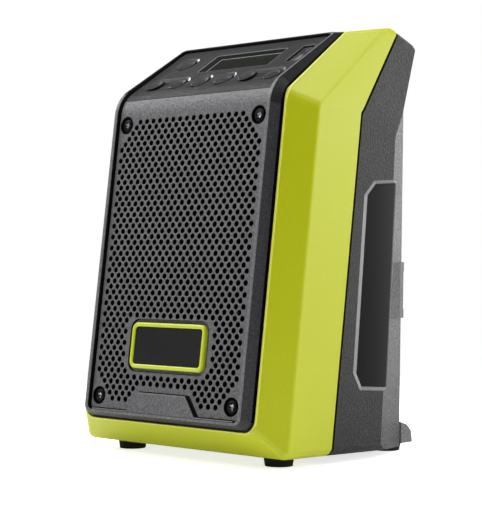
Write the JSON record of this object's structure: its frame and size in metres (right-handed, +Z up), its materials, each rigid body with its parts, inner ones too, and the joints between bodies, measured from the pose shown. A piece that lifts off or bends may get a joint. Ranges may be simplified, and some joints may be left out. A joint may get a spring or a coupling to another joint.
{
  "type": "jobsite radio",
  "caption": "Compact jobsite radio: raked perforated speaker face, sloping control deck with keys and display, two-part moulded housing, rear battery dock, rubber feet.",
  "frame": {"origin": "middle of the radio's outline on the surface that it stands on", "axes": "+X to the user's right, +Y from the speaker face to the back, +Z up"},
  "size_m": [0.116, 0.1042, 0.1799],
  "materials": {
    "lime_plastic": "satin moulded, fine grain",
    "dark_plastic": "fine moulded grain",
    "grey_plastic": "fine moulded grain",
    "deck_plastic": "satin moulded",
    "key_rubber": "satin",
    "foot_rubber": "matte",
    "grille_cloth": "fine black weave",
    "lime_trim": "gloss",
    "badge_face": "gloss",
    "inlay_film": "satin film",
    "window_pane": "glossy, smoked",
    "display_lcd": "liquid crystal display",
    "black_screw": "black oxide",
    "plated_steel": "nickel plated",
    "connector_white": "moulded",
    "circuit_board": "solder mask",
    "switch_black": "moulded",
    "speaker_paper": "pressed paper pulp",
    "speaker_rubber": "satin",
    "speaker_foam": "closed cell foam",
    "ferrite": "sintered",
    "copper_wire": "enamelled",
    "brass_contact": "plated",
    "dock_plastic": "moulded",
    "cooler_aluminium": "extruded",
    "capacitor_sleeve": "shrink sleeve"
  },
  "bodies": {
    "housing": {"front_housing": "lime_plastic", "rear_housing": "dark_plastic", "front_bezel": "grey_plastic", "speaker_grille": "grey_plastic", "grille_cloth": "grille_cloth", "badge_ring": "lime_trim", "badge_plate": "badge_face", "grille_screws": "black_screw", "control_deck": "deck_plastic", "display_window": "window_pane", "display_module": "display_lcd", "control_board": "circuit_board", "tact_switches": "switch_black", "usb_socket": "plated_steel", "usb_tongue": "connector_white", "usb_board": "circuit_board", "board_screws": "plated_steel", "speaker_gasket": "speaker_foam", "speaker_basket": "plated_steel", "speaker_cone": "speaker_paper", "speaker_surround": "speaker_rubber", "speaker_dust_cap": "speaker_paper", "voice_coil": "copper_wire", "speaker_front_plate": "plated_steel", "speaker_magnet": "ferrite", "speaker_yoke": "plated_steel", "speaker_screws": "black_screw", "battery_dock": "dock_plastic", "terminal_block": "dock_plastic", "terminal_blades": "brass_contact", "dock_screws": "black_screw", "housing_screws": "black_screw", "front_feet": "foot_rubber", "rear_feet": "foot_rubber", "side_inlay": "inlay_film", "main_board": "circuit_board", "main_board_screws": "plated_steel", "heatsink": "cooler_aluminium", "capacitors": "capacitor_sleeve", "antenna_rod": "ferrite", "antenna_coil": "copper_wire"},
    "power_button": {"power_button": "key_rubber"},
    "mode_button": {"mode_button": "key_rubber"},
    "source_button": {"source_button": "key_rubber"},
    "tuning_rocker": {"tuning_rocker": "key_rubber"},
    "volume_rocker": {"volume_rocker": "key_rubber"}
  },
  "joints": [
    {"name": "power_press", "type": "slide", "parent": "housing", "child": "power_button", "axis": [0, 0.5299, -0.848], "range_m": [0, 0.0006], "stiffness_N_per_m": 900},
    {"name": "mode_press", "type": "slide", "parent": "housing", "child": "mode_button", "axis": [0, 0.5299, -0.848], "range_m": [0, 0.0006], "stiffness_N_per_m": 900},
    {"name": "source_press", "type": "slide", "parent": "housing", "child": "source_button", "axis": [0, 0.5299, -0.848], "range_m": [0, 0.0006], "stiffness_N_per_m": 900},
    {"name": "tuning_rock", "type": "hinge", "parent": "housing", "child": "tuning_rocker", "pos_m": [-0.0272, -0.01937, 0.15419], "axis": [0, 0.848, 0.5299], "range_deg": [-3, 3], "stiffness_Nm_per_rad": 0.3},
    {"name": "volume_rock", "type": "hinge", "parent": "housing", "child": "volume_rocker", "pos_m": [0.0272, -0.01937, 0.15419], "axis": [0, 0.848, 0.5299], "range_deg": [-3, 3], "stiffness_Nm_per_rad": 0.3}
  ]
}
